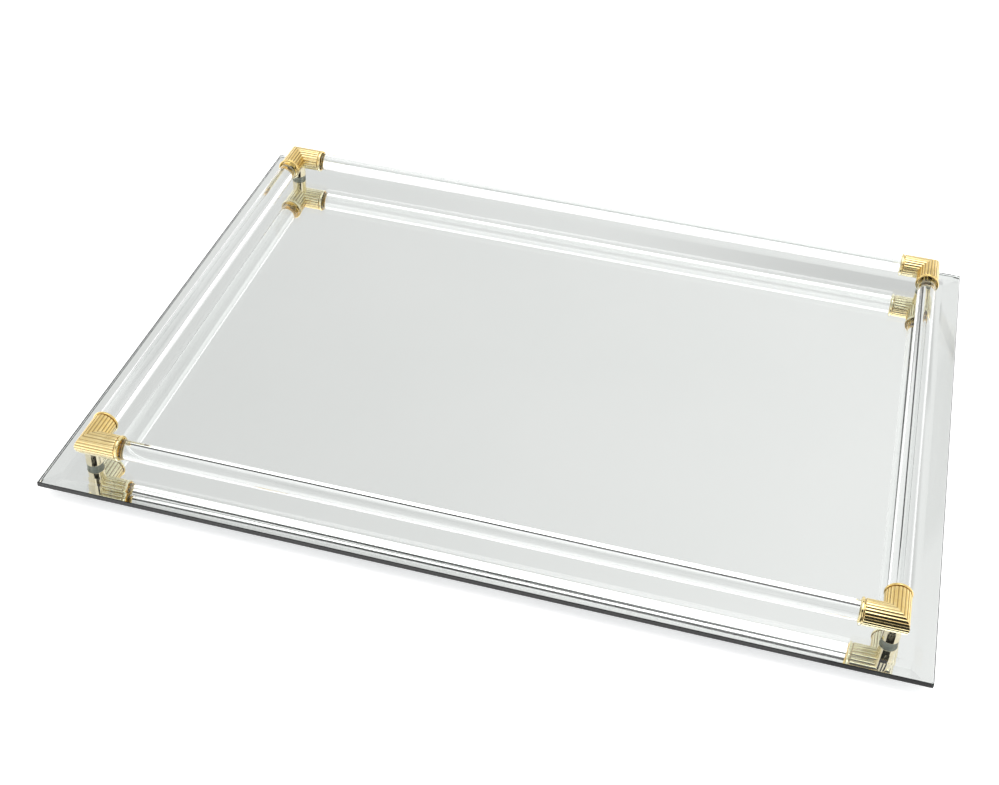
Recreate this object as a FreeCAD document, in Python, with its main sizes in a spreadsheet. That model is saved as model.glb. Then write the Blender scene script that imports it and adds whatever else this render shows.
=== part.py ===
import FreeCAD, Part
import os

import Sketcher
from FreeCAD import Placement, Rotation, Vector

# Mirrored vanity tray: a bevelled plate mirror with a gallery of four clear rods held by four mitred,
# reeded corner elbows. Each elbow stands on a post and is clamped to the glass by one screw from below.
# Frame: X along the width, Y from front to back, Z up; the origin lies under the middle, on the table.

DOC = FreeCAD.newDocument("VanityTray")
SHEET = DOC.addObject("Spreadsheet::Sheet", "Sizes")

SIZES = (
    # mirror plate
    ("tray_width", 406.4),
    ("tray_depth", 304.8),
    ("glass_thick", 4.0),
    ("edge_thick", 2.8),
    ("bevel_width", 9.0),
    ("coat_thick", 0.2),
    ("coat_inset", 0.5),
    # gallery rail
    ("rail_inset", 19.5),
    ("axis_height", 12.0),
    ("rod_dia", 9.525),
    ("rod_chamfer", 0.4),
    ("rod_end_gap", 0.2),
    # corner elbow
    ("arm_reach", 15.2),
    ("core_dia", 11.3),
    ("crest_dia", 11.8),
    ("reed_count", 22),
    ("reed_radius", 1.24),
    ("rim_dia", 12.4),
    ("rim_length", 1.2),
    ("rim_round", 0.4),
    ("neck_length", 0.5),
    ("mouth_dia", 10.5),
    ("mouth_depth", 3.0),
    ("socket_floor", 6.2),
    ("post_seat", 2.8),
    ("tap_top", 2.0),
    # post, grommet and screw
    ("post_dia", 7.94),
    ("post_chamfer", 0.25),
    ("clear_dia", 4.4),
    ("hole_dia", 7.5),
    ("flange_dia", 7.9),
    ("flange_thick", 0.2),
    ("screw_dia", 4.0),
    ("screw_tip_gap", 0.2),
    ("head_dia", 7.0),
    ("head_height", 2.6),
    ("head_round", 1.0),
    ("drive_span", 4.2),
    ("drive_width", 0.9),
    ("drive_depth", 1.4),
    ("washer_dia", 8.4),
    ("washer_thick", 0.8),
    # foot
    ("foot_height", 7.0),
    ("foot_top_dia", 16.0),
    ("foot_base_dia", 13.0),
    ("foot_round", 0.8),
    ("recess_dia", 9.0),
    ("recess_depth", 4.2),
)

# name, side in X, side in Y, turn about Z in degrees
CORNERS = (
    ("front_left", -1, -1, 0),
    ("front_right", 1, -1, 90),
    ("back_right", 1, 1, 180),
    ("back_left", -1, 1, 270),
)


class Size:
    """A length that carries both its number and the sheet expression that gives it."""

    def __init__(self, value, text):
        self.value = value
        self.text = text

    def joined(self, sign, other, value):
        other_text = other.text if isinstance(other, Size) else repr(other)
        return Size(value, f"({self.text} {sign} {other_text})")

    def __add__(self, other):
        return self.joined("+", other, self.value + number(other))

    def __sub__(self, other):
        return self.joined("-", other, self.value - number(other))

    def __mul__(self, factor):
        return self.joined("*", factor, self.value * factor)

    def __truediv__(self, divisor):
        return self.joined("/", divisor, self.value / divisor)


def number(item):
    return item.value if isinstance(item, Size) else item


def fill_sheet():
    """Write each driving size into the sheet and return the sizes by name."""
    sizes = {}
    for row, (alias, value) in enumerate(SIZES, start=1):
        SHEET.set(f"A{row}", alias)
        SHEET.set(f"B{row}", str(value))
        SHEET.setAlias(f"B{row}", alias)
        sizes[alias] = Size(value, f"Sizes.{alias}")
    DOC.recompute()
    return sizes


S = fill_sheet()
ZERO = Size(0.0, "0")
COAT_BASE = S["foot_height"]
GLASS_BASE = COAT_BASE + S["coat_thick"]
GLASS_TOP = GLASS_BASE + S["glass_thick"]
AXIS_Z = GLASS_TOP + S["axis_height"]
CORNER_X = S["tray_width"] / 2 - S["rail_inset"]
CORNER_Y = S["tray_depth"] / 2 - S["rail_inset"]
CREST_RADIUS = S["crest_dia"] / 2


# ---- sketch and feature helpers ----

def bind(thing, prop, size):
    thing.setExpression(prop, size.text)


def origin_feature(body, role):
    return next(item for item in body.Origin.OriginFeatures if item.Role == role)


def new_body(label):
    body = DOC.addObject("PartDesign::Body", label)
    body.Label = label
    return body


def new_sketch(body, name, role="XY_Plane", offset=ZERO):
    sketch = body.newObject("Sketcher::SketchObject", name)
    sketch.AttachmentSupport = [(origin_feature(body, role), "")]
    sketch.MapMode = "FlatFace"
    bind(sketch, "AttachmentOffset.Base.z", offset)
    return sketch


def bound_constraint(sketch, size, kind, *where):
    """Add one dimension to a sketch and bind it to the sheet."""
    index = sketch.addConstraint(Sketcher.Constraint(kind, *where, number(size)))
    bind(sketch, f"Constraints[{index}]", size)


def place_point(sketch, geometry, point, x_size, y_size):
    """Fix a sketch point by its distances from the sketch's origin."""
    sides = (("DistanceX", -2, x_size), ("DistanceY", -1, y_size))
    for kind, axis, size in sides:
        if size is ZERO:
            sketch.addConstraint(Sketcher.Constraint("PointOnObject", geometry, point, axis))
        else:
            bound_constraint(sketch, size, kind, -1, 1, geometry, point)


def add_circle(sketch, diameter, x_size=ZERO, y_size=ZERO):
    centre = Vector(number(x_size), number(y_size), 0)
    circle = sketch.addGeometry(Part.Circle(centre, Vector(0, 0, 1), number(diameter) / 2), False)
    place_point(sketch, circle, 3, x_size, y_size)
    bound_constraint(sketch, diameter, "Diameter", circle)


def add_polygon(sketch, points):
    """Closed outline through points given as pairs of sizes."""
    corners = [Vector(number(x_size), number(y_size), 0) for x_size, y_size in points]
    count = len(corners)
    lines = [
        sketch.addGeometry(Part.LineSegment(corners[i], corners[(i + 1) % count]), False)
        for i in range(count)
    ]
    for i, line in enumerate(lines):
        sketch.addConstraint(Sketcher.Constraint("Coincident", line, 2, lines[(i + 1) % count], 1))
    for line, (x_size, y_size) in zip(lines, points):
        place_point(sketch, line, 1, x_size, y_size)


def add_rectangle(sketch, width, depth):
    """Rectangle about the sketch's origin."""
    half_x = width / 2
    half_y = depth / 2
    left = half_x * -1
    low = half_y * -1
    add_polygon(sketch, ((left, low), (half_x, low), (half_x, half_y), (left, half_y)))


def pad(body, sketch, length):
    feature = body.newObject("PartDesign::Pad", "Pad")
    feature.Profile = sketch
    bind(feature, "Length", length)
    return feature


def pocket(body, sketch, depth=None, reverse=False):
    """Cut a sketch away from its plane, to a depth or right through; the cut must remove volume."""
    DOC.recompute()
    before = body.Shape.Volume
    feature = body.newObject("PartDesign::Pocket", "Pocket")
    feature.Profile = sketch
    feature.Reversed = reverse
    if depth is None:
        feature.Type = "ThroughAll"
    else:
        bind(feature, "Length", depth)
    DOC.recompute()
    if not body.Shape.Volume < before:
        raise RuntimeError(f"{body.Label}: a pocket cuts nothing")
    return feature


def revolve(body, points, name="Profile"):
    """Turn an outline in the XZ plane, given as radius and height, about the Z axis."""
    sketch = new_sketch(body, name, "XZ_Plane")
    add_polygon(sketch, points)
    feature = body.newObject("PartDesign::Revolution", "Revolution")
    feature.Profile = sketch
    feature.ReferenceAxis = (origin_feature(body, "Z_Axis"), [""])
    feature.Angle = 360
    return feature


def circle_edges(body, radius, along, place):
    """Names of the circular edges of a radius whose centre lies at a place along an axis."""
    DOC.recompute()
    found = []
    for index, edge in enumerate(body.Shape.Edges, start=1):
        curve = edge.Curve
        if not isinstance(curve, Part.Circle) or abs(curve.Radius - number(radius)) > 1e-4:
            continue
        if abs(getattr(curve.Center, along) - number(place)) < 1e-4:
            found.append(f"Edge{index}")
    if not found:
        raise RuntimeError(f"{body.Label}: no edge of radius {number(radius)} found")
    return found


def dress(body, kind, size, edges):
    """Fillet or chamfer the named edges of the body's newest feature."""
    base = body.Tip
    feature = body.newObject(f"PartDesign::{kind}", kind)
    feature.Base = (base, edges)
    bind(feature, "Radius" if kind == "Fillet" else "Size", size)
    DOC.recompute()


def polar_pattern(body, original, axis, count):
    feature = body.newObject("PartDesign::PolarPattern", "Pattern")
    feature.Originals = [original]
    feature.Axis = (origin_feature(body, axis), [""])
    feature.Angle = 360
    if isinstance(count, Size):
        bind(feature, "Occurrences", count)
    else:
        feature.Occurrences = count
    body.Tip = feature
    return feature


def place(body, turn=0, x_size=ZERO, y_size=ZERO, z_size=ZERO):
    body.Placement = Placement(Vector(), Rotation(Vector(0, 0, 1), turn))
    for axis, size in (("x", x_size), ("y", y_size), ("z", z_size)):
        bind(body, f"Placement.Base.{axis}", size)


# ---- mirror plate ----

def drill_corners(body, base):
    """Four holes through a plate, one on the axis of each corner post."""
    sketch = new_sketch(body, "Holes", offset=base)
    for _, side_x, side_y, _ in CORNERS:
        add_circle(sketch, S["hole_dia"], CORNER_X * side_x, CORNER_Y * side_y)
    pocket(body, sketch)


def mirror_glass():
    """Float glass with a wide, shallow bevel round its upper edge."""
    body = new_body("mirror_glass")
    outline = new_sketch(body, "Outline")
    add_rectangle(outline, S["tray_width"], S["tray_depth"])
    pad(body, outline, S["edge_thick"])
    bevel_foot = new_sketch(body, "BevelFoot", offset=S["edge_thick"])
    add_rectangle(bevel_foot, S["tray_width"], S["tray_depth"])
    bevel_ridge = new_sketch(body, "BevelRidge", offset=S["glass_thick"])
    ridge_width = S["tray_width"] - S["bevel_width"] * 2
    ridge_depth = S["tray_depth"] - S["bevel_width"] * 2
    add_rectangle(bevel_ridge, ridge_width, ridge_depth)
    loft = body.newObject("PartDesign::AdditiveLoft", "Bevel")
    loft.Profile = (bevel_foot, [""])
    loft.Sections = [(bevel_ridge, [""])]
    loft.Ruled = True
    drill_corners(body, S["glass_thick"])
    place(body, z_size=GLASS_BASE)
    return body


def mirror_back_coat():
    """Silvering with its protective paint, a skin under the glass that stops short of the edge."""
    body = new_body("mirror_back_coat")
    outline = new_sketch(body, "Outline")
    coat_width = S["tray_width"] - S["coat_inset"] * 2
    coat_depth = S["tray_depth"] - S["coat_inset"] * 2
    add_rectangle(outline, coat_width, coat_depth)
    pad(body, outline, S["coat_thick"])
    drill_corners(body, S["coat_thick"])
    place(body, z_size=COAT_BASE)
    return body


# ---- gallery rail ----

def rail_rod(side, run, turn, x_size, y_size):
    """Solid round rod that ends just short of the socket floors of two elbows."""
    body = new_body(f"rod_{side}")
    length = run - (S["socket_floor"] + S["rod_end_gap"]) * 2
    start = length / -2
    section = new_sketch(body, "Section", "YZ_Plane", start)
    add_circle(section, S["rod_dia"])
    pad(body, section, length)
    radius = S["rod_dia"] / 2
    ends = circle_edges(body, radius, "x", start) + circle_edges(body, radius, "x", length / 2)
    dress(body, "Chamfer", S["rod_chamfer"], ends)
    place(body, turn, x_size, y_size, AXIS_Z)
    return body


def rail_rods():
    """Two long rods along X and two short ones along Y."""
    run_x = CORNER_X * 2
    run_y = CORNER_Y * 2
    return [
        rail_rod("front", run_x, 0, ZERO, CORNER_Y * -1),
        rail_rod("back", run_x, 0, ZERO, CORNER_Y),
        rail_rod("left", run_y, 90, CORNER_X * -1, ZERO),
        rail_rod("right", run_y, 90, CORNER_X, ZERO),
    ]


def reeded_arm(body):
    """Arm along X: plain core, round reeds all about it, and a plain rim at the mouth."""
    back = CREST_RADIUS * -1
    core = new_sketch(body, "Core", "YZ_Plane", back)
    add_circle(core, S["core_dia"])
    pad(body, core, S["arm_reach"] + CREST_RADIUS)
    reed = new_sketch(body, "Reed", "YZ_Plane", back)
    add_circle(reed, S["reed_radius"] * 2, ZERO, CREST_RADIUS - S["reed_radius"])
    reed_length = S["arm_reach"] - S["rim_length"] - S["neck_length"] + CREST_RADIUS
    first_reed = pad(body, reed, reed_length)
    DOC.recompute()
    polar_pattern(body, first_reed, "X_Axis", S["reed_count"])
    rim_start = S["arm_reach"] - S["rim_length"]
    rim = new_sketch(body, "Rim", "YZ_Plane", rim_start)
    add_circle(rim, S["rim_dia"])
    pad(body, rim, S["rim_length"])
    rim_radius = S["rim_dia"] / 2
    edges = circle_edges(body, rim_radius, "x", rim_start)
    edges += circle_edges(body, rim_radius, "x", S["arm_reach"])
    dress(body, "Fillet", S["rim_round"], edges)


def bore_arm(body):
    """Blind socket for the rod, with a wider mouth that leaves a ring of space round the rod."""
    socket = new_sketch(body, "Socket", "YZ_Plane", S["arm_reach"])
    add_circle(socket, S["rod_dia"])
    pocket(body, socket, S["arm_reach"] - S["socket_floor"])
    mouth = new_sketch(body, "Mouth", "YZ_Plane", S["arm_reach"])
    add_circle(mouth, S["mouth_dia"])
    pocket(body, mouth, S["mouth_depth"])


def mitre_arm(body):
    """Cut the arm along the upright plane y = x, then mirror it there into the second arm."""
    reach = S["crest_dia"]
    back = reach * -1
    waste = new_sketch(body, "Waste", "XY_Plane", back)
    add_polygon(waste, ((back, back), (reach, reach), (back, reach)))
    pocket(body, waste, reach * 2, reverse=True)
    plane = body.newObject("PartDesign::Plane", "MitrePlane")
    plane.AttachmentSupport = [(origin_feature(body, "XZ_Plane"), "")]
    plane.MapMode = "FlatFace"
    plane.AttachmentOffset = Placement(Vector(), Rotation(Vector(0, 1, 0), 45))
    DOC.recompute()
    mirror = body.newObject("PartDesign::Mirrored", "Mitre")
    mirror.TransformMode = "Whole shape"
    mirror.MirrorPlane = (plane, [""])
    body.Tip = mirror
    DOC.recompute()


def corner_elbow(corner, side_x, side_y, turn):
    """Mitred elbow with arms along its own +X and +Y, seated on the post and tapped for the screw."""
    body = new_body(f"corner_elbow_{corner}")
    reeded_arm(body)
    bore_arm(body)
    mitre_arm(body)
    seat = new_sketch(body, "PostSeat", offset=S["post_seat"] * -1)
    add_circle(seat, S["post_dia"])
    pocket(body, seat)
    tap = new_sketch(body, "ScrewTap", offset=S["tap_top"])
    add_circle(tap, S["screw_dia"])
    pocket(body, tap)
    place(body, turn, CORNER_X * side_x, CORNER_Y * side_y, AXIS_Z)
    return body


# ---- the stack under each elbow ----

def corner_post(corner, side_x, side_y, turn):
    """Plain round spacer from the grommet up into the elbow's seat."""
    body = new_body(f"post_{corner}")
    length = S["axis_height"] - S["post_seat"] - S["flange_thick"]
    section = new_sketch(body, "Section")
    add_circle(section, S["post_dia"])
    pad(body, section, length)
    dress(body, "Chamfer", S["post_chamfer"], circle_edges(body, S["post_dia"] / 2, "z", ZERO))
    bore = new_sketch(body, "Bore", offset=length)
    add_circle(bore, S["clear_dia"])
    pocket(body, bore)
    base = GLASS_TOP + S["flange_thick"]
    place(body, turn, CORNER_X * side_x, CORNER_Y * side_y, base)
    return body


def glass_grommet(corner, side_x, side_y, turn):
    """Soft bush through the glass with a thin flange between glass and post."""
    body = new_body(f"grommet_{corner}")
    inner = S["clear_dia"] / 2
    sleeve = S["hole_dia"] / 2
    flange = S["flange_dia"] / 2
    seat = S["coat_thick"] + S["glass_thick"]
    top = seat + S["flange_thick"]
    outline = ((inner, ZERO), (sleeve, ZERO), (sleeve, seat), (flange, seat), (flange, top), (inner, top))
    revolve(body, outline)
    place(body, turn, CORNER_X * side_x, CORNER_Y * side_y, COAT_BASE)
    return body


def rubber_foot(corner, side_x, side_y, turn):
    """Tapered round foot with a recess below that hides the screw head."""
    body = new_body(f"foot_{corner}")
    inner = S["clear_dia"] / 2
    recess = S["recess_dia"] / 2
    base = S["foot_base_dia"] / 2
    top = S["foot_top_dia"] / 2
    web = S["recess_depth"]
    height = S["foot_height"]
    outline = ((recess, ZERO), (base, ZERO), (top, height), (inner, height), (inner, web), (recess, web))
    revolve(body, outline)
    edges = circle_edges(body, base, "z", ZERO) + circle_edges(body, top, "z", height)
    dress(body, "Fillet", S["foot_round"], edges)
    place(body, turn, CORNER_X * side_x, CORNER_Y * side_y)
    return body


def screw_washer(corner, side_x, side_y, turn):
    """Flat washer against the roof of the foot's recess."""
    body = new_body(f"screw_washer_{corner}")
    ring = new_sketch(body, "Ring")
    add_circle(ring, S["washer_dia"])
    add_circle(ring, S["clear_dia"])
    pad(body, ring, S["washer_thick"])
    base = S["recess_depth"] - S["washer_thick"]
    place(body, turn, CORNER_X * side_x, CORNER_Y * side_y, base)
    return body


def long_screw(corner, side_x, side_y, turn):
    """Pan-head screw that runs up through foot, glass and post into the elbow."""
    body = new_body(f"screw_{corner}")
    shank = S["screw_dia"] / 2
    head = S["head_dia"] / 2
    seat = S["head_height"]
    base = S["recess_depth"] - S["washer_thick"] - S["head_height"]
    tip = AXIS_Z + S["tap_top"] - S["screw_tip_gap"] - base
    revolve(body, ((ZERO, ZERO), (head, ZERO), (head, seat), (shank, seat), (shank, tip), (ZERO, tip)))
    dress(body, "Fillet", S["head_round"], circle_edges(body, head, "z", ZERO))
    slot = new_sketch(body, "DriveSlot")
    add_rectangle(slot, S["drive_span"], S["drive_width"])
    cut = pocket(body, slot, S["drive_depth"], reverse=True)
    polar_pattern(body, cut, "Z_Axis", 4)
    place(body, turn, CORNER_X * side_x, CORNER_Y * side_y, base)
    return body


# ---- assembly ----

def check(parts):
    """Stop before anything is written if a feature failed or a shape is empty or broken."""
    for item in DOC.Objects:
        if "Invalid" in item.State or "Error" in item.State:
            raise RuntimeError(f"{item.Label} failed: {item.State}")
    for body in parts:
        shape = body.Shape
        if shape.isNull() or not shape.isValid() or len(shape.Solids) != 1:
            raise RuntimeError(f"{body.Label} is not one valid solid")


def main():
    parts = [mirror_glass(), mirror_back_coat()]
    parts += rail_rods()
    for make in (corner_elbow, corner_post, glass_grommet, rubber_foot, screw_washer, long_screw):
        parts += [make(*corner) for corner in CORNERS]
    DOC.recompute()
    check(parts)
    os.makedirs("parts", exist_ok=True)
    for body in parts:
        body.Shape.exportStep(f"parts/{body.Label}.step")
        print(f"{body.Label}: {body.Shape.Volume:.1f} mm3")


main()
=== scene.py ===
import math

import bpy
from mathutils import Matrix, Vector
from mathutils.geometry import tessellate_polygon


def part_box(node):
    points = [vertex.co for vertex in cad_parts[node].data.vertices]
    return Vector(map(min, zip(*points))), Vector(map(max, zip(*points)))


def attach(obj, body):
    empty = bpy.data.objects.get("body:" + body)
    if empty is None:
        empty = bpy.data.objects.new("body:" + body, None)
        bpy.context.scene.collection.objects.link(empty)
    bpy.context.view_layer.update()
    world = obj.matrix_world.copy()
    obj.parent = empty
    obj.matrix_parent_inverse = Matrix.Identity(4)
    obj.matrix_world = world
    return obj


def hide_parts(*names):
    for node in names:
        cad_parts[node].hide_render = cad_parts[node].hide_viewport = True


# Looks for a mirrored vanity tray: a bevelled plate mirror, four clear rods and four reeded gold
# corner elbows on short posts. Lengths are in millimetres in the tables and metres in the meshes.

MM = 0.001
CORNERS = (
    ("front_left", 0),
    ("front_right", 90),
    ("back_right", 180),
    ("back_left", 270),
)
SIDES = ("front", "back", "left", "right")

# plate: sizes, and the material slots of its mesh
FACE, EDGE, SILVER, HOLE, LIT_BACK_EDGE = range(5)
BEVEL = 9.0
EDGE_THICK = 2.8
ARRIS = 0.3
COAT_INSET = 0.5
RIDGE_SOFT = 0.15
SILVER_LIFT = 0.01
HOLE_RADIUS = 3.75
HOLE_STEPS = 64

# elbow
REEDS = 22
CREST = 5.9
VALLEY = 5.66
REED_STEPS = 12
ARM_REACH = 15.2
RIM_RADIUS = 6.2
RIM_LENGTH = 1.2
RIM_ROUND = 0.4
RIM_FILLET = 0.08
NECK_LENGTH = 0.5
NECK_RADIUS = 5.42
NECK_SHADE = 0.6
MOUTH_RADIUS = 5.25
MOUTH_DEPTH = 3.0
SOCKET_RADIUS = 4.81
SOCKET_FLOOR = 6.2
SMALL_STEP = 0.05

# gold: how much rougher the valleys are, and the heights in metres about an elbow's axis between
# which its paler lower tone, painted light, gives way to the upper one
VALLEY_ROUGH = 0.18
UNDERLIGHT_HEIGHT = (-0.003, 0.001)

# turned pieces
LATHE_STEPS = 96
ROD_STEPS = 128
ROD_ROUND = 0.4
SCREW_BORE = 2.2
LONG_RUN = 0.4
HOLD = 0.03

# light of the studio by direction: swing in degrees from straight behind toward the right, rise
# in degrees above the table, and the levels
WALL_SWING = (-48, 24)
WALL_LEVEL = (0.75, 0.97)
WALL_FOOT = (21, 28)
WALL_HEAD = (46, 58)
WALL_ABOVE_HEAD = 0.25
LOW_LEVEL = 1.05
TOP_RISE = (60, 76)
TOP_LEVEL = 3.2
FLOOR_GLOW = 0.45
FLOOR_DROP = 0.00002

# panel on the wall and the greyer frame on three of its sides, as slopes x/z and y/z of the
# direction of the light; the frame dims the wall more toward the right
PANEL_ASIDE = (-0.61, 0.136)
PANEL_AHEAD = (0.966, 1.465)
FRAME_ASIDE = (-0.67, 0.168)
FRAME_AHEAD = (0.966, 1.54)
FRAME_DIM = (0.02, 0.26)
FRAME_DIM_ASIDE = (-0.3, 0.1)
SLOPE_STEP = 0.01

# camera: lens in millimetres, place in metres, the way it looks and its right-hand side
CAMERA_LENS = 55.073
CAMERA_PLACE = (0.11779, -0.59727, 0.49906)
CAMERA_AHEAD = (-0.1764, 0.74804, -0.63978)
CAMERA_RIGHT = (0.96474, 0.26037, 0.03843)

# sockets of the Mix node
MIX_FACTOR = 0
MIX_NUMBERS = (2, 3)
MIX_COLOURS = (6, 7)

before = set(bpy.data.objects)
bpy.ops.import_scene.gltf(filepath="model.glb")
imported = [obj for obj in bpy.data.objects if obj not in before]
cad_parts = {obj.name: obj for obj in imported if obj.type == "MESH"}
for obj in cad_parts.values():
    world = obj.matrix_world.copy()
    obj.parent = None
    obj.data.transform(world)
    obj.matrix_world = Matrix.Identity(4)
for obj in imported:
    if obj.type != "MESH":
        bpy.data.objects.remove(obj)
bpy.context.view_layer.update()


# ---------------------------------------------------------------- mesh helpers

def build_object(name, verts, faces, materials, slots=None, sharp=40.0):
    """A mesh object in metres from vertices in millimetres, smooth except at sharp edges."""
    mesh = bpy.data.meshes.new(name)
    mesh.from_pydata([(x * MM, y * MM, z * MM) for x, y, z in verts], [], faces)
    mesh.validate()
    for material in materials:
        mesh.materials.append(material)
    if slots:
        mesh.polygons.foreach_set("material_index", slots)
    mesh.shade_smooth()
    mesh.set_sharp_from_angle(angle=math.radians(sharp))
    mesh.update()
    made = bpy.data.objects.new(name, mesh)
    bpy.context.scene.collection.objects.link(made)
    return made


def ring_band(first, second, count):
    """Quads between two rings of vertices that start at the given indices."""
    return [
        (first + i, first + (i + 1) % count, second + (i + 1) % count, second + i)
        for i in range(count)
    ]


def arc(centre_r, centre_z, radius, start, end, steps):
    """Points of a profile along an arc, angles in degrees from the outward direction."""
    points = []
    for i in range(steps + 1):
        turn = math.radians(start + (end - start) * i / steps)
        points.append((centre_r + radius * math.cos(turn), centre_z + radius * math.sin(turn)))
    return points


def held(profile, closed):
    """Profile with a ring close to each end of its long runs, so that they shade truly straight."""
    points = []
    following = profile[1:] + (profile[:1] if closed else [])
    for first, second in zip(profile, following):
        points.append(first)
        run = math.dist(first, second)
        if run > LONG_RUN:
            for share in (HOLD / run, 1 - HOLD / run):
                points.append(tuple(a + (b - a) * share for a, b in zip(first, second)))
    if not closed:
        points.append(profile[-1])
    return points


def lathe(profile, steps, closed=False):
    """Vertices and faces of a profile of (radius, height) turned about Z."""
    profile = held(profile, closed)
    verts = []
    starts = []
    for radius, height in profile:
        starts.append((len(verts), radius > 1e-6))
        if radius <= 1e-6:
            verts.append((0.0, 0.0, height))
            continue
        for i in range(steps):
            turn = 2 * math.pi * i / steps
            verts.append((radius * math.cos(turn), radius * math.sin(turn), height))
    faces = []
    pairs = list(zip(starts, starts[1:]))
    if closed:
        pairs.append((starts[-1], starts[0]))
    for (a, a_ring), (b, b_ring) in pairs:
        if a_ring and b_ring:
            faces += ring_band(a, b, steps)
        elif b_ring:
            faces += [(a, b + (i + 1) % steps, b + i) for i in range(steps)]
        elif a_ring:
            faces += [(a + i, a + (i + 1) % steps, b) for i in range(steps)]
    return verts, faces


def place(made, centre, turn=0.0, tilt=None):
    """Puts an object built about its own origin at a point of the frame."""
    matrix = Matrix.Translation(centre) @ Matrix.Rotation(math.radians(turn), 4, "Z")
    if tilt:
        matrix = matrix @ tilt
    made.matrix_world = matrix
    return made


def finish_piece(made, slot, *nodes):
    """Ties a finished piece to its body and hides the nodes it stands for; the slot argument is not
    used.
    """
    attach(made, "root")
    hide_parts(*nodes)
    return made


def box_centre(node):
    """Middle of a CAD node's box."""
    low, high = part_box(node)
    return (low + high) / 2


# ---------------------------------------------------------------- material helpers

def new_material(name, **sockets):
    """A material whose Principled shader has these constant sockets."""
    material = bpy.data.materials.new(name)
    material.use_nodes = True
    shader = material.node_tree.nodes["Principled BSDF"]
    for key, value in sockets.items():
        shader.inputs[key.replace("_", " ")].default_value = value
    return material, material.node_tree, shader


def add_node(tree, kind, **inputs):
    """A node whose sockets have these constants."""
    made = tree.nodes.new(kind)
    for key, value in inputs.items():
        made.inputs[key.replace("_", " ")].default_value = value
    return made


def feed(tree, socket, value):
    """Gives a socket a constant, or links another node's output to it."""
    if isinstance(value, bpy.types.NodeSocket):
        tree.links.new(value, socket)
    else:
        socket.default_value = value


def coordinates(tree, scale=(1, 1, 1)):
    """Object coordinates in metres, stretched by a scale on each axis."""
    source = tree.nodes.new("ShaderNodeTexCoord")
    mapping = add_node(tree, "ShaderNodeMapping", Scale=scale)
    tree.links.new(source.outputs["Object"], mapping.inputs["Vector"])
    return mapping.outputs["Vector"]


def noise(tree, vector, scale, detail=3.0, roughness=0.5):
    """Smooth noise over a vector."""
    made = add_node(tree, "ShaderNodeTexNoise", Scale=scale, Detail=detail, Roughness=roughness)
    tree.links.new(vector, made.inputs["Vector"])
    return made.outputs["Fac"]


def spread(tree, value, low, high, start=0.3, end=0.7):
    """Maps the middle of a noise value onto a range."""
    made = add_node(
        tree, "ShaderNodeMapRange", From_Min=start, From_Max=end, To_Min=low, To_Max=high
    )
    tree.links.new(value, made.inputs["Value"])
    return made.outputs["Result"]


def blend_colour(tree, factor, first, second):
    """Colour that goes from the first to the second as the factor rises."""
    made = tree.nodes.new("ShaderNodeMix")
    made.data_type = "RGBA"
    tree.links.new(factor, made.inputs[MIX_FACTOR])
    for index, colour in zip(MIX_COLOURS, (first, second)):
        feed(tree, made.inputs[index], (*colour, 1.0) if isinstance(colour, tuple) else colour)
    return made.outputs[2]


def blend_number(tree, factor, first, second):
    """Number that goes from the first to the second as the factor rises."""
    made = tree.nodes.new("ShaderNodeMix")
    tree.links.new(factor, made.inputs[MIX_FACTOR])
    for index, value in zip(MIX_NUMBERS, (first, second)):
        feed(tree, made.inputs[index], value)
    return made.outputs[0]


def bump(tree, shader, height, strength, distance):
    """Fine relief on a shader, its depth in metres."""
    made = add_node(tree, "ShaderNodeBump", Strength=strength, Distance=distance)
    tree.links.new(height, made.inputs["Height"])
    tree.links.new(made.outputs["Normal"], shader.inputs["Normal"])


def combine(tree, operation, first, second):
    """Result of an operation on two numbers, each a constant or an output."""
    made = tree.nodes.new("ShaderNodeMath")
    made.operation = operation
    for index, value in enumerate((first, second)):
        feed(tree, made.inputs[index], value)
    return made.outputs[0]


# ---------------------------------------------------------------- materials

def clear_glass():
    """Polished face of the plate: clean, with faint wipe marks in the gloss."""
    material, tree, shader = new_material(
        "plate_glass", Base_Color=(0.985, 0.995, 0.988, 1), IOR=1.52, Transmission_Weight=1.0
    )
    wipe = noise(tree, coordinates(tree, (6, 22, 6)), 1.0, 4.0, 0.6)
    tree.links.new(spread(tree, wipe, 0.0, 0.018, 0.5, 0.8), shader.inputs["Roughness"])
    return material


def edge_glass(name, tint, gloss):
    """Seamed and polished rim of the plate with fine lines along the edge."""
    material, tree, shader = new_material(
        name, Base_Color=(*tint, 1), IOR=1.52, Transmission_Weight=1.0, Specular_IOR_Level=gloss
    )
    lines = noise(tree, coordinates(tree, (60, 60, 5000)), 1.0, 3.0, 0.6)
    tree.links.new(spread(tree, lines, 0.04, 0.16), shader.inputs["Roughness"])
    bump(tree, shader, lines, 0.15, 0.00002)
    return material


def silvering():
    """Silvered back of the mirror seen through the glass, with soft clouding."""
    material, tree, shader = new_material("silvering", Metallic=1.0, Roughness=0.02)
    clouds = noise(tree, coordinates(tree), 9.0, 3.0, 0.5)
    colour = blend_colour(
        tree, spread(tree, clouds, 0, 1), (0.865, 0.880, 0.868), (0.885, 0.897, 0.886)
    )
    tree.links.new(colour, shader.inputs["Base Color"])
    return material


def ground_hole():
    """Ground wall of a drilled hole, grey-green and matt."""
    material, tree, shader = new_material("ground_glass", Roughness=0.6, IOR=1.5)
    grain = noise(tree, coordinates(tree), 2600.0, 3.0, 0.6)
    colour = blend_colour(
        tree, spread(tree, grain, 0, 1), (0.46, 0.51, 0.44), (0.62, 0.67, 0.60)
    )
    tree.links.new(colour, shader.inputs["Base Color"])
    bump(tree, shader, grain, 0.4, 0.00005)
    return material


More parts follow.
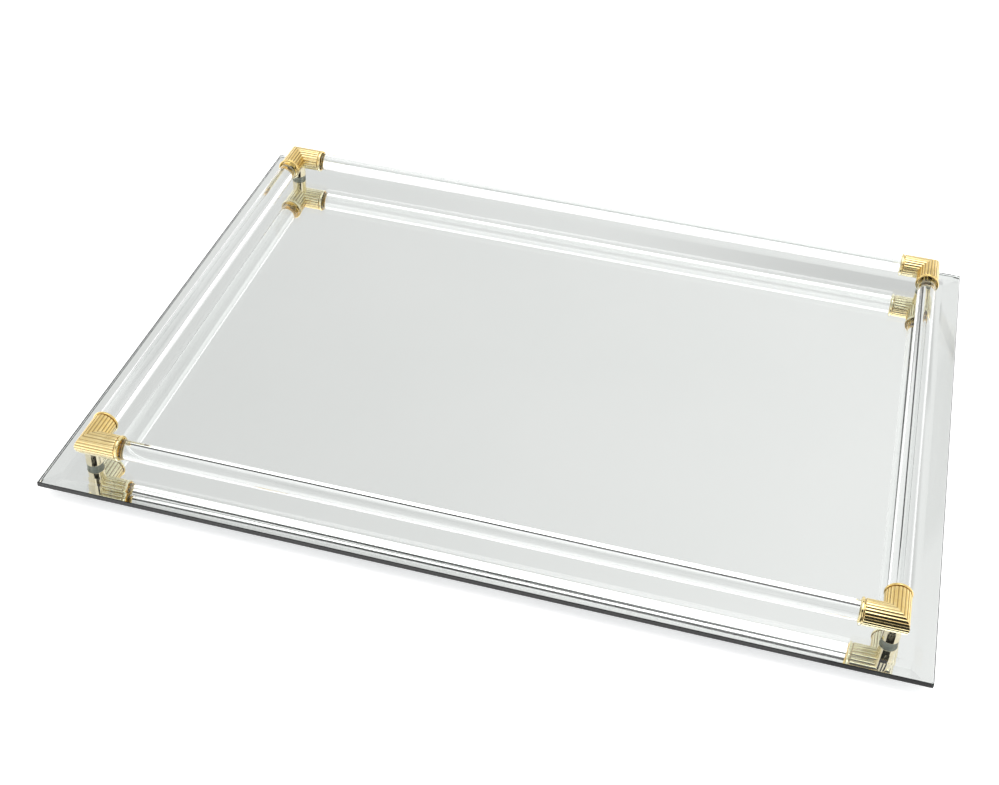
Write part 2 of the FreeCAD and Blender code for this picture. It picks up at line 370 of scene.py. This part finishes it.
def back_paint():
    """Grey protective paint on the back of the mirror, rolled on, with small scuffs."""
    material, tree, shader = new_material("back_paint", IOR=1.5)
    vector = coordinates(tree)
    peel = noise(tree, vector, 900.0, 4.0, 0.6)
    clouds = noise(tree, vector, 14.0, 5.0, 0.6)
    colour = blend_colour(
        tree, spread(tree, clouds, 0, 1), (0.22, 0.235, 0.245), (0.29, 0.305, 0.31)
    )
    scuffs = noise(tree, coordinates(tree, (40, 260, 40)), 1.0, 6.0, 0.75)
    worn = blend_colour(tree, spread(tree, scuffs, 0, 0.6, 0.66, 0.74), colour, (0.42, 0.43, 0.43))
    tree.links.new(worn, shader.inputs["Base Color"])
    tree.links.new(spread(tree, peel, 0.42, 0.62), shader.inputs["Roughness"])
    bump(tree, shader, peel, 0.35, 0.00015)
    return material


def acrylic():
    """Clear cast rod with faint draw lines and hairline marks along it."""
    material, tree, shader = new_material(
        "clear_acrylic", Base_Color=(0.985, 0.99, 0.99, 1), IOR=1.49, Transmission_Weight=1.0
    )
    draw = noise(tree, coordinates(tree, (900, 900, 12)), 1.0, 2.0, 0.5)
    tree.links.new(spread(tree, draw, 0.0, 0.03, 0.45, 0.8), shader.inputs["Roughness"])
    return material


def gold_plate(
    name, light, deep, grain_scale, rough_low, rough_high, valleys=None, under=None
):
    """Polished gold plating: cloudy tone, hairline scratches, rough valleys with painted shade,
    painted light below.
    """
    material, tree, shader = new_material(name, Metallic=1.0)
    vector = coordinates(tree)
    tone = noise(tree, vector, 420.0, 3.0, 0.55)
    colour = blend_colour(tree, spread(tree, tone, 0, 1), light, deep)
    scratch = noise(tree, coordinates(tree, grain_scale), 1.0, 4.0, 0.7)
    rough = spread(tree, scratch, rough_low, rough_high, 0.35, 0.75)
    # painted light: below the elbow's axis the colour turns to the paler under colour
    if under:
        split = tree.nodes.new("ShaderNodeSeparateXYZ")
        tree.links.new(vector, split.inputs[0])
        underlight_mask = spread(tree, split.outputs["Z"], 1, 0, *UNDERLIGHT_HEIGHT)
        colour = blend_colour(tree, underlight_mask, colour, under)
    # painted shade: the valley colour darkens the reed valleys and the neck groove; the same depth
    # also makes them rougher
    if valleys:
        groove = tree.nodes.new("ShaderNodeAttribute")
        groove.attribute_name = "valley"
        colour = blend_colour(tree, groove.outputs["Fac"], colour, valleys)
        rougher = combine(tree, "MULTIPLY", groove.outputs["Fac"], VALLEY_ROUGH)
        rough = combine(tree, "ADD", rough, rougher)
    tree.links.new(colour, shader.inputs["Base Color"])
    tree.links.new(rough, shader.inputs["Roughness"])
    bump(tree, shader, scratch, 0.06, 0.00003)
    return material


def soft_bush():
    """Cloudy grey-green plastic bush between the post and the glass, partly clear."""
    material, tree, shader = new_material("soft_bush", IOR=1.47, Transmission_Weight=0.55)
    grain = noise(tree, coordinates(tree), 1800.0, 3.0, 0.6)
    colour = blend_colour(
        tree, spread(tree, grain, 0, 1), (0.62, 0.67, 0.56), (0.74, 0.78, 0.67)
    )
    tree.links.new(colour, shader.inputs["Base Color"])
    tree.links.new(spread(tree, grain, 0.1, 0.22), shader.inputs["Roughness"])
    bump(tree, shader, grain, 0.15, 0.00005)
    return material


def black_rubber():
    """Moulded black rubber with a fine grain and a dusty bloom."""
    material, tree, shader = new_material("black_rubber", IOR=1.5)
    vector = coordinates(tree)
    grain = noise(tree, vector, 3200.0, 3.0, 0.65)
    bloom = noise(tree, vector, 260.0, 4.0, 0.6)
    colour = blend_colour(
        tree, spread(tree, bloom, 0, 1), (0.012, 0.012, 0.013), (0.038, 0.037, 0.036)
    )
    tree.links.new(colour, shader.inputs["Base Color"])
    tree.links.new(spread(tree, grain, 0.5, 0.72), shader.inputs["Roughness"])
    bump(tree, shader, grain, 0.5, 0.00008)
    return material


def zinc_steel():
    """Zinc-plated steel: cool grey with a crystalline mottle and turning marks."""
    material, tree, shader = new_material("zinc_steel", Metallic=1.0)
    cells = add_node(tree, "ShaderNodeTexVoronoi", Scale=1500.0)
    tree.links.new(coordinates(tree), cells.inputs["Vector"])
    colour = blend_colour(
        tree, cells.outputs["Distance"], (0.50, 0.51, 0.52), (0.68, 0.69, 0.69)
    )
    tree.links.new(colour, shader.inputs["Base Color"])
    marks = noise(tree, coordinates(tree, (300, 300, 2500)), 1.0, 3.0, 0.6)
    tree.links.new(spread(tree, marks, 0.22, 0.42), shader.inputs["Roughness"])
    bump(tree, shader, marks, 0.15, 0.00003)
    return material


# ---------------------------------------------------------------- plate

def rectangle(inset, height, half_x, half_y):
    """Corners of the plate's outline, moved in and at a height."""
    x = half_x - inset
    y = half_y - inset
    return [(-x, -y, height), (x, -y, height), (x, y, height), (-x, y, height)]


def circle(centre, radius, height, steps):
    """Points of a level circle."""
    return [
        (
            centre[0] + radius * math.cos(2 * math.pi * i / steps),
            centre[1] + radius * math.sin(2 * math.pi * i / steps),
            height,
        )
        for i in range(steps)
    ]


def holed_face(outer, hole_starts, verts, flip):
    """Triangles that fill a rectangle of vertices around drilled holes."""
    loops = [list(range(outer, outer + 4))]
    loops += [list(range(start, start + HOLE_STEPS)) for start in hole_starts]
    flat = [index for loop in loops for index in loop]
    shapes = [[Vector((verts[i][0], verts[i][1], 0.0)) for i in loop] for loop in loops]
    triangles = []
    for a, b, c in tessellate_polygon(shapes):
        a, b, c = flat[a], flat[b], flat[c]
        pa, pb, pc = verts[a], verts[b], verts[c]
        turn = (pb[0] - pa[0]) * (pc[1] - pa[1]) - (pb[1] - pa[1]) * (pc[0] - pa[0])
        if abs(turn) < 1e-9:
            continue
        upward = turn > 0
        triangles.append((a, b, c) if upward != flip else (a, c, b))
    return triangles


def plate_steps(bottom, top):
    """Rim of the plate from the silver to the top: (inset, height)."""
    edge_top = bottom + EDGE_THICK
    slope = (top - edge_top) / BEVEL
    return (
        (COAT_INSET, bottom + SILVER_LIFT),
        (ARRIS, bottom),
        (0.0, bottom + ARRIS),
        (0.0, edge_top - ARRIS * 0.6),
        (ARRIS, edge_top + ARRIS * slope),
        (BEVEL - RIDGE_SOFT, edge_top + (BEVEL - RIDGE_SOFT) * slope),
        (BEVEL + RIDGE_SOFT, top),
    )


def mirror_plate(materials):
    """Bevelled plate with seamed edges, a silvered back and four drilled holes."""
    low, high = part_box("mirror_glass")
    centre = (low + high) / 2
    half_x = (high.x - low.x) / 2 / MM
    half_y = (high.y - low.y) / 2 / MM
    top = high.z / MM
    steps = plate_steps(low.z / MM, top)
    silver = steps[0][1]
    slot_of_band = (FACE, EDGE, EDGE, EDGE, FACE, FACE)
    verts = []
    for inset, height in steps:
        verts += rectangle(inset, height, half_x, half_y)
    faces = []
    slots = []
    for index, slot in enumerate(slot_of_band):
        band = ring_band(index * 4, index * 4 + 4, 4)
        faces += band
        front, right, back, left = [slot] * 4
        # the back edge takes the pale copy of the edge glass: painted light
        if slot == EDGE:
            back = LIT_BACK_EDGE
        slots += [front, right, back, left]
    low_rings = []
    high_rings = []
    for name, _ in CORNERS:
        hole = (box_centre("post_" + name) - centre) / MM
        for rings, height in ((low_rings, silver), (high_rings, top)):
            rings.append(len(verts))
            verts += circle(hole, HOLE_RADIUS, height, HOLE_STEPS)
    for low_ring, high_ring in zip(low_rings, high_rings):
        wall = ring_band(high_ring, low_ring, HOLE_STEPS)
        faces += wall
        slots += [HOLE] * len(wall)
    under = holed_face(0, low_rings, verts, True)
    faces += under
    slots += [SILVER] * len(under)
    over = holed_face((len(steps) - 1) * 4, high_rings, verts, False)
    faces += over
    slots += [FACE] * len(over)
    made = build_object("mirror_plate", verts, faces, materials, slots, sharp=3.0)
    made.matrix_world = Matrix.Translation((centre.x, centre.y, 0.0))
    return finish_piece(made, "mirror_glass", "mirror_glass")


# ---------------------------------------------------------------- rods

def clear_rod(side, material):
    """Rod with rounded edges at its ends, laid where the CAD rod lies."""
    low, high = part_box("rod_" + side)
    size = high - low
    along_x = size.x > size.y
    length = (size.x if along_x else size.y) / MM
    radius = size.z / 2 / MM
    flat = radius - ROD_ROUND
    half = length / 2
    profile = [(0.0, -half), (flat, -half)]
    profile += arc(flat, -half + ROD_ROUND, ROD_ROUND, -90, 0, 5)[1:]
    profile += arc(flat, half - ROD_ROUND, ROD_ROUND, 0, 90, 5)
    profile += [(0.0, half)]
    verts, faces = lathe(profile, ROD_STEPS)
    made = build_object("acrylic_rod_" + side, verts, faces, [material])
    tilt = Matrix.Rotation(math.radians(90), 4, "Y" if along_x else "X")
    place(made, (low + high) / 2, 0.0, tilt)
    return finish_piece(made, "clear_rod", "rod_" + side)


# ---------------------------------------------------------------- elbows

def reed_section():
    """Cross-section of the reeded tube: (turn, reeded radius, how deep in a valley it lies)."""
    pitch = 2 * math.pi / REEDS
    half = VALLEY * math.sin(pitch / 2)
    rise = CREST - VALLEY * math.cos(pitch / 2)
    round_radius = (half**2 + rise**2) / (2 * rise)
    meet = math.asin(half / round_radius)
    points = []
    for reed in range(REEDS):
        middle = (reed + 0.5) * pitch
        for step in range(REED_STEPS):
            swing = meet * (2 * step / REED_STEPS - 1)
            along = CREST - round_radius * (1 - math.cos(swing))
            across = round_radius * math.sin(swing)
            radius = math.hypot(along, across)
            depth = ((CREST - radius) / (CREST - VALLEY)) ** 2
            points.append((middle + math.atan2(across, along), radius, depth))
    return points


def arm_stations():
    """Rings of one arm from the mitre to the floor of its socket: (kind, value, distance).

    The value is how full the reeds stand on a reed ring, and the radius on a round one.
    """
    mouth = ARM_REACH
    rim = mouth - RIM_LENGTH
    neck = rim - NECK_LENGTH
    rounded = RIM_RADIUS - RIM_ROUND
    stations = [("reed", 1.0, neck - 0.24), ("reed", 1.0, neck - 0.2)]
    stations += [("reed", 0.55, neck - 0.03), ("reed", 0.1, neck)]
    stations += [("round", NECK_RADIUS, neck + 0.02), ("round", NECK_RADIUS, rim - 0.06)]
    stations += [("round", NECK_RADIUS + RIM_FILLET, rim)]
    stations += [
        ("round", radius, distance)
        for radius, distance in arc(rounded, rim + RIM_ROUND, RIM_ROUND, -90, 0, 5)
    ]
    stations += [
        ("round", radius, distance)
        for radius, distance in arc(rounded, mouth - RIM_ROUND, RIM_ROUND, 0, 90, 5)
    ]
    lip = 0.25
    stations += [
        ("round", radius, distance)
        for radius, distance in arc(MOUTH_RADIUS + lip, mouth - lip, lip, 90, 180, 5)
    ]
    step = mouth - MOUTH_DEPTH
    stations += [("round", MOUTH_RADIUS, step + SMALL_STEP)]
    stations += [("round", MOUTH_RADIUS - SMALL_STEP, step)]
    stations += [("round", SOCKET_RADIUS + SMALL_STEP, step)]
    stations += [("round", SOCKET_RADIUS, step - SMALL_STEP)]
    stations += [("round", SOCKET_RADIUS, SOCKET_FLOOR)]
    return stations


def elbow_mesh():
    """Mitred elbow with arms along +X and +Y: vertices, faces, valley depths and arm of each face."""
    section = reed_section()
    count = len(section)
    verts = []
    valley = []
    for turn, radius, depth in section:
        across = radius * math.cos(turn)
        verts.append((across, across, radius * math.sin(turn)))
        valley.append(depth)
    faces = []
    arms = []
    stations = arm_stations()
    for swap in (False, True):
        previous = 0
        for kind, value, distance in stations:
            start = len(verts)
            for turn, reeded, depth in section:
                radius = VALLEY + (reeded - VALLEY) * value if kind == "reed" else value
                across = radius * math.cos(turn)
                up = radius * math.sin(turn)
                verts.append((across, distance, up) if swap else (distance, across, up))
                deep = depth if kind == "reed" else 0.0
                # the neck groove takes part of the valley colour as painted shade
                if kind == "round" and NECK_RADIUS <= radius <= NECK_RADIUS + RIM_FILLET * 1.1:
                    deep = NECK_SHADE
                valley.append(deep)
            band = ring_band(previous, start, count)
            faces += [face[::-1] for face in band] if swap else band
            previous = start
        pole = len(verts)
        verts.append((0.0, SOCKET_FLOOR, 0.0) if swap else (SOCKET_FLOOR, 0.0, 0.0))
        valley.append(0.0)
        fan = [(previous + i, previous + (i + 1) % count, pole) for i in range(count)]
        faces += [face[::-1] for face in fan] if swap else fan
        arms += [int(swap)] * (len(faces) - len(arms))
    return verts, faces, valley, arms


def gold_elbow(corner, turn, shape, along_x, along_y):
    """One elbow; the arm that runs along Y takes a darker, warmer copy of the gold with deeper
    valleys than the arm along X: painted shade.
    """
    verts, faces, valley, arms = shape
    pair = [along_y, along_x] if turn % 180 else [along_x, along_y]
    made = build_object("gold_elbow_" + corner, verts, faces, pair, arms, sharp=35.0)
    depth = made.data.attributes.new("valley", "FLOAT", "POINT")
    depth.data.foreach_set("value", valley)
    axis = box_centre("rod_front").z
    post = box_centre("post_" + corner)
    place(made, (post.x, post.y, axis), turn)
    return finish_piece(made, "gold_elbow", "corner_elbow_" + corner)


# ---------------------------------------------------------------- corner stack

def turned_piece(name, node, profile, material, slot, closed=False, steps=LATHE_STEPS):
    """A turned piece whose profile is given from the bottom of its CAD node."""
    low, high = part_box(node)
    verts, faces = lathe(profile, steps, closed)
    made = build_object(name, verts, faces, [material], sharp=50.0)
    place(made, ((low.x + high.x) / 2, (low.y + high.y) / 2, low.z))
    return finish_piece(made, slot, node)


def node_size(node):
    """Radius and height of a round CAD node in millimetres."""
    low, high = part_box(node)
    return (high.x - low.x) / 2 / MM, (high.z - low.z) / MM


def gold_post(corner, material):
    """Plain round post with a bore for the screw and rounded edges."""
    radius, height = node_size("post_" + corner)
    low_round = 0.12
    top_round = 0.25
    profile = [(SCREW_BORE, 0.0), (radius - low_round, 0.0)]
    profile += arc(radius - low_round, low_round, low_round, -90, 0, 4)[1:]
    profile += arc(radius - top_round, height - top_round, top_round, 0, 90, 4)
    profile += [(SCREW_BORE, height)]
    return turned_piece(
        "gold_post_" + corner, "post_" + corner, profile, material, "gold_post", closed=True
    )


def bush(corner, material):
    """Sleeve that lines the drilled hole, with a thin head on the glass."""
    radius, height = node_size("grommet_" + corner)
    sleeve = HOLE_RADIUS - 0.03
    head = height - 0.2
    soft = 0.08
    profile = [(SCREW_BORE, 0.0), (sleeve, 0.0), (sleeve, head)]
    profile += arc(radius - soft, head + 0.1, soft, -90, 90, 6)
    profile += [(SCREW_BORE, height)]
    return turned_piece(
        "bush_" + corner, "grommet_" + corner, profile, material, "grommet", closed=True
    )


def rubber_foot(corner, material):
    """Tapered foot, widest at the top, with a recess below for the screw head."""
    radius, height = node_size("foot_" + corner)
    base = 6.5
    recess = 4.5
    depth = 4.2
    base_round = 0.8
    top_round = 0.5
    lip = 0.35
    inner_round = 0.3
    taper = -12
    profile = [(recess, lip)]
    profile += arc(recess + lip, lip, lip, 180, 270, 4)[1:]
    profile += arc(base - base_round, base_round, base_round, -90, taper, 6)
    profile += arc(radius - top_round, height - top_round, top_round, taper, 90, 6)
    profile += [(SCREW_BORE, height), (SCREW_BORE, depth), (recess - inner_round, depth)]
    profile += arc(recess - inner_round, depth - inner_round, inner_round, 90, 0, 4)
    return turned_piece(
        "rubber_foot_" + corner, "foot_" + corner, profile, material, "foot_rubber", closed=True
    )


# ---------------------------------------------------------------- stage

def ramp(tree, value, start, end, low, high):
    """Eases from low to high while the value runs from start to end."""
    made = add_node(
        tree, "ShaderNodeMapRange", From_Min=start, From_Max=end, To_Min=low, To_Max=high
    )
    made.interpolation_type = "SMOOTHSTEP"
    tree.links.new(value, made.inputs["Value"])
    return made.outputs["Result"]


def between(tree, value, start, end):
    """One between start and end, zero outside, with a soft step at each."""
    rising = ramp(tree, value, start, start + SLOPE_STEP, 0, 1)
    falling = ramp(tree, value, end, end + SLOPE_STEP, 1, 0)
    return combine(tree, "MULTIPLY", rising, falling)


def patch(tree, aside, ahead, aside_range, ahead_range):
    """One inside a rectangle of slopes, zero outside."""
    across = between(tree, aside, *aside_range)
    return combine(tree, "MULTIPLY", across, between(tree, ahead, *ahead_range))


def wall_level(tree, x, y, z):
    """Level of the tent: white low down, a grey wall dimmest at left, bright above."""
    rise = combine(tree, "MULTIPLY", combine(tree, "ARCSINE", z, 0.0), 180 / math.pi)
    swing = combine(tree, "MULTIPLY", combine(tree, "ARCTAN2", x, y), 180 / math.pi)
    wall = ramp(tree, swing, *WALL_SWING, *WALL_LEVEL)
    foot = ramp(tree, rise, *WALL_FOOT, 0, 1)
    head = ramp(tree, rise, *WALL_HEAD, 1, WALL_ABOVE_HEAD)
    level = blend_number(tree, combine(tree, "MULTIPLY", foot, head), LOW_LEVEL, wall)
    return blend_number(tree, ramp(tree, rise, *TOP_RISE, 0, 1), level, TOP_LEVEL)


def frame_shade(tree, x, y, z):
    """How much the frame of the panel dims the wall, more toward the right."""
    aside = combine(tree, "DIVIDE", x, z)
    ahead = combine(tree, "DIVIDE", y, z)
    outer = patch(tree, aside, ahead, FRAME_ASIDE, FRAME_AHEAD)
    inner = patch(tree, aside, ahead, PANEL_ASIDE, PANEL_AHEAD)
    bars = combine(tree, "SUBTRACT", outer, inner)
    return combine(tree, "MULTIPLY", bars, ramp(tree, aside, *FRAME_DIM_ASIDE, *FRAME_DIM))


def studio_world():
    """Soft white tent with a calm grey wall and a light panel in a slightly greyer frame."""
    world = bpy.data.worlds.new("studio")
    bpy.context.scene.world = world
    world.use_nodes = True
    tree = world.node_tree
    source = tree.nodes.new("ShaderNodeTexCoord")
    split = tree.nodes.new("ShaderNodeSeparateXYZ")
    tree.links.new(source.outputs["Generated"], split.inputs[0])
    level = wall_level(tree, *split.outputs)
    clear = combine(tree, "SUBTRACT", 1.0, frame_shade(tree, *split.outputs))
    shade = tree.nodes["Background"]
    tree.links.new(combine(tree, "MULTIPLY", level, clear), shade.inputs["Strength"])
    shade.inputs["Color"].default_value = (1.0, 1.0, 1.0, 1.0)


def black_card(soft):
    """Black card with a faint weave and a rim that fades out; one material for each softness."""
    name = "black_card_%d" % soft
    if name in bpy.data.materials:
        return bpy.data.materials[name]
    material, tree, shader = new_material(name, Roughness=0.9, Specular_IOR_Level=0.05)
    weave = noise(tree, coordinates(tree), 80.0, 3.0, 0.6)
    colour = blend_colour(
        tree, spread(tree, weave, 0, 1), (0.008, 0.008, 0.008), (0.02, 0.02, 0.02)
    )
    tree.links.new(colour, shader.inputs["Base Color"])
    rim = tree.nodes.new("ShaderNodeAttribute")
    rim.attribute_name = "rim"
    tree.links.new(rim.outputs["Fac"], shader.inputs["Alpha"])
    return material


def studio_card(name, centre, width, height, soft, facing=0.0, tilt=0.0, through=True):
    """Dark card out of shot, picked up by gloss, and by clear things when through is set.

    Lengths are in millimetres, angles in degrees; its rim fades out over the soft width.
    """
    across = (-width / 2 - soft, -width / 2, width / 2, width / 2 + soft)
    along = (-height / 2 - soft, -height / 2, height / 2, height / 2 + soft)
    verts = [(u, 0.0, v) for v in along for u in across]
    faces = [
        (row * 4 + i, row * 4 + i + 1, row * 4 + i + 5, row * 4 + i + 4)
        for row in range(3) for i in range(3)
    ]
    made = build_object(name, verts, faces, [black_card(soft)])
    rim = made.data.attributes.new("rim", "FLOAT", "POINT")
    inner = (5, 6, 9, 10)
    rim.data.foreach_set("value", [float(i in inner) for i in range(len(verts))])
    lean = Matrix.Rotation(math.radians(tilt), 4, "X")
    place(made, Vector(centre) * MM, facing, lean)
    made.visible_camera = False
    made.visible_diffuse = False
    made.visible_shadow = False
    made.visible_transmission = through


def studio_cards():
    """Dark cards in front, an upright at the far right and a thin batten over the front rod."""
    studio_card("card_front", (185, -513, 460), 910, 280, soft=20)
    studio_card("card_front_low", (210, -513, 165), 90, 330, soft=20, through=False)
    studio_card("card_floor", (210, -339, 2), 90, 348, soft=10, tilt=90, through=False)
    studio_card("card_upright", (690, 1430, 900), 130, 1000, soft=30, facing=-25.8)
    studio_card("card_batten", (-19, -82, 124), 424, 17, soft=2, facing=4.7, tilt=70)


def pale_floor():
    """Plain pale tabletop with a faint paper grain that glows a little, so that it stays white."""
    half = 12000.0
    verts = [(-half, -half, 0), (half, -half, 0), (half, half, 0), (-half, half, 0)]
    material, tree, shader = new_material(
        "pale_floor", Roughness=0.9, Specular_IOR_Level=0.1, Emission_Color=(1, 1, 1, 1),
        Emission_Strength=FLOOR_GLOW,
    )
    grain = noise(tree, coordinates(tree), 30.0, 4.0, 0.5)
    colour = blend_colour(
        tree, spread(tree, grain, 0, 1), (0.90, 0.90, 0.90), (0.92, 0.92, 0.92)
    )
    tree.links.new(colour, shader.inputs["Base Color"])
    floor = build_object("floor", verts, [(0, 1, 2, 3)], [material])
    floor.location.z = -FLOOR_DROP


def photo_camera():
    """Camera at the photograph's viewing angle."""
    camera = bpy.data.cameras.new("camera")
    camera.sensor_width = 36.0
    camera.lens = CAMERA_LENS
    camera.clip_start = 0.01
    camera.clip_end = 60.0
    made = bpy.data.objects.new("camera", camera)
    bpy.context.scene.collection.objects.link(made)
    ahead = Vector(CAMERA_AHEAD).normalized()
    right = Vector(CAMERA_RIGHT)
    right = (right - ahead * right.dot(ahead)).normalized()
    up = right.cross(ahead)
    turn = Matrix((right, up, -ahead)).transposed()
    made.matrix_world = Matrix.Translation(CAMERA_PLACE) @ turn.to_4x4()
    bpy.context.scene.camera = made


def light_depth():
    """Enough bounces for gold seen in the mirror through the rods."""
    cycles = bpy.context.scene.cycles
    cycles.max_bounces = 24
    cycles.glossy_bounces = 14
    cycles.transmission_bounces = 20
    cycles.transparent_max_bounces = 12


# ---------------------------------------------------------------- assembly

def coat_node(node, material):
    """Gives a CAD node that stays in view its material."""
    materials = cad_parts[node].data.materials
    materials.clear()
    materials.append(material)


def build_mirror():
    """The plate with its edges and holes, and the painted coat under it."""
    glass = clear_glass()
    # two copies of one edge glass: the near-black tint is painted shade on the front and sides, the
    # pale tint painted light on the back
    shaded_edge = edge_glass("plate_edge", (0.0012, 0.0020, 0.0017), 0.08)
    lit_back_edge = edge_glass("plate_edge_back_lit", (0.74, 0.84, 0.79), 0.5)
    mirror_plate([glass, shaded_edge, silvering(), ground_hole(), lit_back_edge])
    coat_node("mirror_back_coat", back_paint())


def build_rods():
    """The four clear rods of the rail."""
    rod = acrylic()
    for side in SIDES:
        clear_rod(side, rod)


def build_corners():
    """Elbow, post, bush, foot and fixings at each corner."""
    # paler gold for the lower half of each elbow: painted light
    under = (0.92, 0.87, 0.64)
    # the valleys= colours are painted shade in the reed valleys
    reeded = gold_plate(
        "gold_reeded", (0.95, 0.80, 0.43), (0.91, 0.72, 0.33), (200, 200, 200), 0.05, 0.13,
        valleys=(0.36, 0.21, 0.07), under=under,
    )
    # darker, warmer copy of the reeded gold for the arms along Y: painted shade
    shaded_reeded = gold_plate(
        "gold_reeded_shaded", (0.95, 0.74, 0.33), (0.89, 0.64, 0.23), (200, 200, 200), 0.05, 0.12,
        valleys=(0.20, 0.09, 0.02), under=under,
    )
    plain = gold_plate(
        "gold_plain", (0.99, 0.91, 0.70), (0.97, 0.86, 0.60), (900, 900, 60), 0.015, 0.06
    )
    shape = elbow_mesh()
    soft = soft_bush()
    rubber = black_rubber()
    zinc = zinc_steel()
    for corner, turn in CORNERS:
        gold_elbow(corner, turn, shape, reeded, shaded_reeded)
        gold_post(corner, plain)
        bush(corner, soft)
        rubber_foot(corner, rubber)
        for fixing in ("screw_", "screw_washer_"):
            coat_node(fixing + corner, zinc)


build_mirror()
build_rods()
build_corners()
studio_world()
studio_cards()
pale_floor()
photo_camera()
light_depth()
bpy.context.scene.view_settings.view_transform = "Standard"
